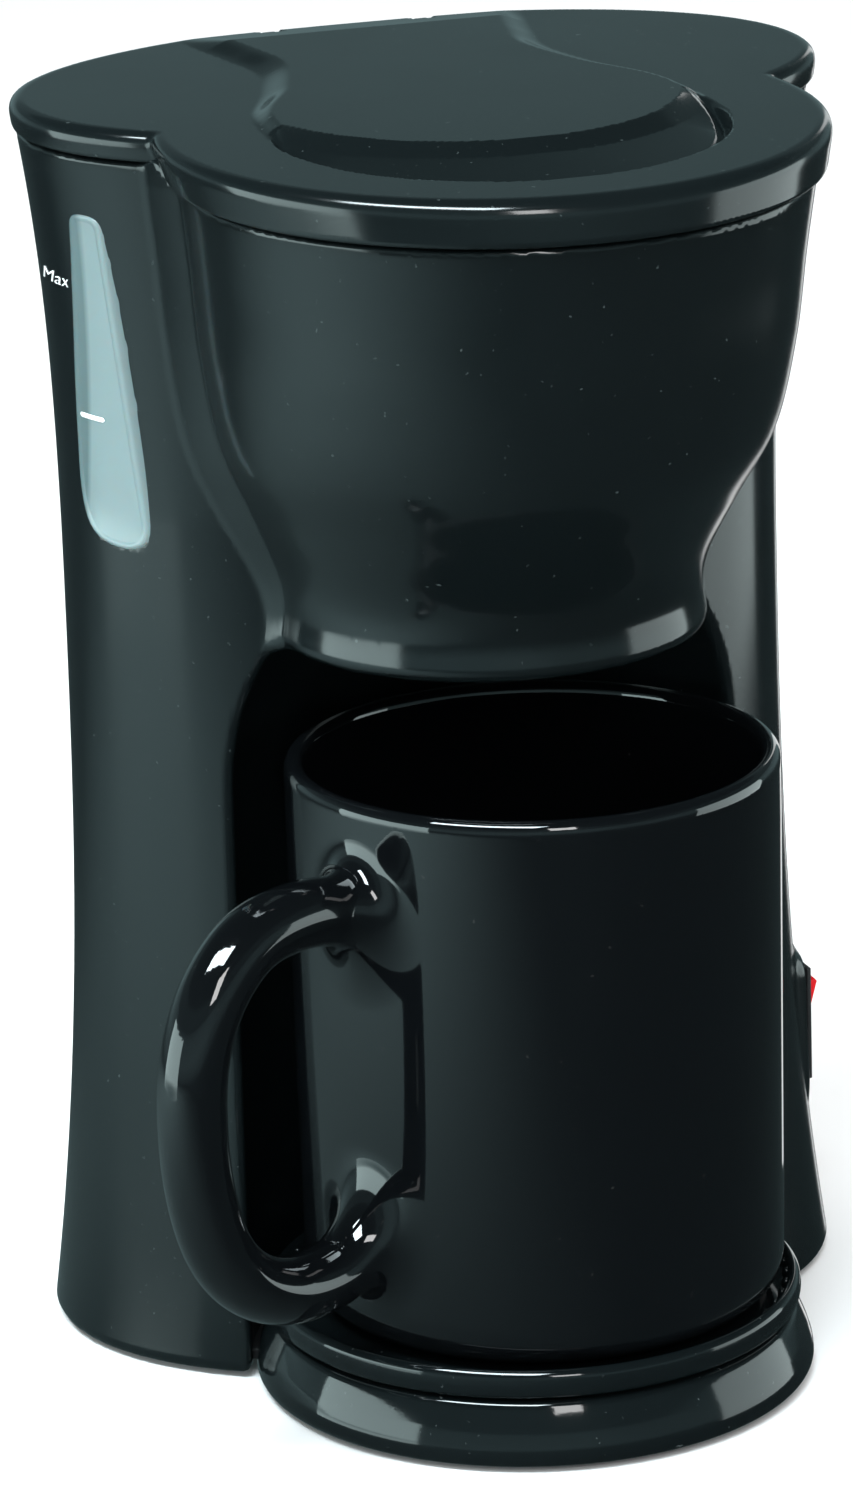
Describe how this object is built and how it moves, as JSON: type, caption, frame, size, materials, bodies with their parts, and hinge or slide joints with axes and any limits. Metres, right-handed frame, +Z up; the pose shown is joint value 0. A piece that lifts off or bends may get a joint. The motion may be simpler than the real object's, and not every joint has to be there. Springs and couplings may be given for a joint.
{
  "type": "drip coffee maker",
  "caption": "Compact single-mug drip coffee maker: oval tower with water gauge, round brew head, hinged lid, rocker switch, ring-shaped base and a ceramic mug.",
  "frame": {"origin": "middle of the outer box, mug and handle included, on the surface it stands on", "axes": "+Z up, -Y towards the mug (front), +X to the right seen from the front, where the switch is"},
  "size_m": [0.148, 0.1494, 0.2228],
  "materials": {
    "black_shell": "satin black moulded ABS",
    "gloss_black": "polished black ABS",
    "inner_plastic": "black polypropylene, matt",
    "rubber": "black rubber",
    "steel": "zinc-plated or stainless steel",
    "aluminium": "die-cast and drawn aluminium",
    "brass": "gold-coloured mesh and brass blades",
    "silicone": "translucent white silicone rubber",
    "clear_window": "clear moulded polycarbonate, slightly smoked",
    "red_rocker": "red gloss plastic",
    "glazed_ceramic": "opaque black glazed stoneware",
    "white_insulation": "white insulating plastic and glass-fibre sleeve"
  },
  "bodies": {
    "housing": {"main_housing": "black_shell", "gauge_window": "clear_window", "base_deck": "gloss_black", "mug_ring": "gloss_black", "bottom_cover": "inner_plastic", "foot_front_left": "rubber", "foot_front_right": "rubber", "foot_rear_left": "rubber", "foot_rear_right": "rubber", "cover_screw_front_left": "steel", "cover_screw_front_right": "steel", "cover_screw_rear_left": "steel", "cover_screw_rear_right": "steel", "brew_basket": "inner_plastic", "filter_frame": "inner_plastic", "filter_mesh": "brass", "drip_nozzle": "inner_plastic", "water_spout": "inner_plastic", "riser_tube": "silicone", "riser_grommet": "rubber", "tank_outlet": "inner_plastic", "check_valve_body": "inner_plastic", "check_valve_ball": "steel", "inlet_hose": "silicone", "outlet_hose": "silicone", "hose_clamp_inlet_top": "steel", "hose_clamp_outlet_top": "steel", "heater_casting": "aluminium", "water_tube": "aluminium", "heating_element": "steel", "heater_bracket_left": "steel", "heater_screw_left": "steel", "heater_bracket_right": "steel", "heater_screw_right": "steel", "thermostat": "steel", "thermal_fuse": "white_insulation", "switch_body": "inner_plastic", "switch_terminal_1": "brass", "switch_terminal_2": "brass", "switch_terminal_3": "brass", "cord_gland": "rubber", "terminal_block": "white_insulation", "wire_switched": "red_rocker", "wire_heater": "red_rocker"},
    "lid_body": {"lid": "black_shell", "lid_hinge_pin_left": "steel", "lid_hinge_pin_right": "steel"},
    "rocker_body": {"switch_rocker": "red_rocker", "rocker_pin": "steel"},
    "mug_body": {"mug": "glazed_ceramic"}
  },
  "joints": [
    {"name": "lid_hinge", "type": "hinge", "parent": "housing", "child": "lid_body", "pos_m": [0.00267, 0.06055, 0.2193], "axis": [-1, 0, 0], "range_deg": [0, 88]},
    {"name": "rocker", "type": "hinge", "parent": "housing", "child": "rocker_body", "pos_m": [0.06697, 0.02085, 0.041], "axis": [0, -1, 0], "range_deg": [0, 10]},
    {"name": "mug_lift", "type": "slide", "parent": "housing", "child": "mug_body", "axis": [0, -0.9724, 0.2334], "range_m": [0, 0.13]}
  ]
}
